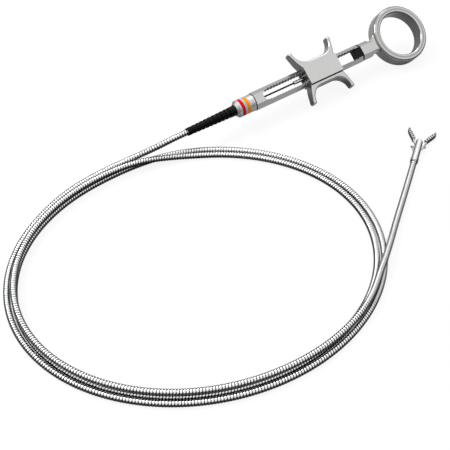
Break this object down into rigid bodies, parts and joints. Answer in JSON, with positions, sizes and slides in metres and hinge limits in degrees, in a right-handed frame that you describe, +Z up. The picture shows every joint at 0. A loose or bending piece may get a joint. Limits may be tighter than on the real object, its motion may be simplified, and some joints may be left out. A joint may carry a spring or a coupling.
{
  "type": "alligator forceps",
  "caption": "Flexible alligator forceps: slotted handle with thumb ring and sliding finger spool, coiled wire sheath and hinged toothed jaws.",
  "frame": {"origin": "centre of the thumb ring's bore", "axes": "+X runs along the handle from its nose to the thumb ring, +Z is up from the table it lies on, +Y completes the right-handed frame"},
  "size_m": [0.2799, 0.1602, 0.0239],
  "materials": {
    "handle_steel": "satin stainless steel",
    "ring_steel": "polished stainless steel",
    "spool_steel": "satin stainless steel",
    "collar_steel": "satin stainless steel",
    "stripe_blue": "pale blue enamel line",
    "band_red": "red enamel band",
    "band_orange": "orange enamel band",
    "black_rubber": "soft black rubber",
    "black_plastic": "matte black",
    "sheath_steel": "bright close-wound steel wire",
    "wire_dark": "dark drawn wire",
    "jaw_steel": "ground stainless steel"
  },
  "bodies": {
    "handle": {"handle_body": "handle_steel", "thumb_ring": "ring_steel", "joint_washer": "black_plastic", "end_stop": "black_plastic", "ring_pin": "handle_steel", "nose_collar": "collar_steel", "stripe_front": "stripe_blue", "band_red": "band_red", "stripe_middle": "stripe_blue", "band_orange": "band_orange", "stripe_rear": "stripe_blue", "seal_ring": "black_plastic", "strain_relief": "black_rubber", "sheath_ferrule": "sheath_steel", "tip_sleeve": "jaw_steel", "jaw_rivet": "jaw_steel", "cable_lead": "sheath_steel", "cable_coil": "sheath_steel", "cable_tail": "sheath_steel"},
    "slider": {"slider_spool": "spool_steel", "wire_carrier": "spool_steel", "spool_screw_front": "handle_steel", "spool_screw_rear": "handle_steel", "saddle_grub": "wire_dark", "pull_rod": "handle_steel", "pull_wire": "wire_dark"},
    "drive": {"drive_rod": "jaw_steel", "crosshead_pin": "jaw_steel"},
    "left_jaw": {"jaw_left": "jaw_steel", "link_pin_left": "jaw_steel"},
    "right_jaw": {"jaw_right": "jaw_steel", "link_pin_right": "jaw_steel"},
    "left_link": {"link_left": "jaw_steel"},
    "right_link": {"link_right": "jaw_steel"}
  },
  "joints": [
    {"name": "slider_slide", "type": "slide", "parent": "handle", "child": "slider", "axis": [1, 0, 0], "range_m": [0, 0.006]},
    {"name": "drive_slide", "type": "slide", "parent": "handle", "child": "drive", "axis": [-0.7826, -0.6225, 0], "range_m": [0, 0.00177]},
    {"name": "jaw_left_pivot", "type": "hinge", "parent": "handle", "child": "left_jaw", "pos_m": [-0.03995, -0.0654, -0.0099], "axis": [0, 0, 1], "range_deg": [-30, 0]},
    {"name": "jaw_right_pivot", "type": "hinge", "parent": "handle", "child": "right_jaw", "pos_m": [-0.03995, -0.0654, -0.0099], "axis": [0, 0, 1], "range_deg": [0, 30]},
    {"name": "link_left_pivot", "type": "hinge", "parent": "drive", "child": "left_link", "pos_m": [-0.0448, -0.06926, -0.0099], "axis": [0, 0, 1], "range_deg": [0, 5.25]},
    {"name": "link_right_pivot", "type": "hinge", "parent": "drive", "child": "right_link", "pos_m": [-0.0448, -0.06926, -0.0099], "axis": [0, 0, 1], "range_deg": [-5.25, 0]}
  ],
  "couplings": [
    {"joint": "drive_slide", "follows": "slider_slide", "ratio": 0.294},
    {"joint": "jaw_left_pivot", "follows": "slider_slide", "rad_per_m": -87.26},
    {"joint": "jaw_right_pivot", "follows": "slider_slide", "rad_per_m": 87.26},
    {"joint": "link_left_pivot", "follows": "slider_slide", "rad_per_m": 15.1},
    {"joint": "link_right_pivot", "follows": "slider_slide", "rad_per_m": -15.1}
  ]
}
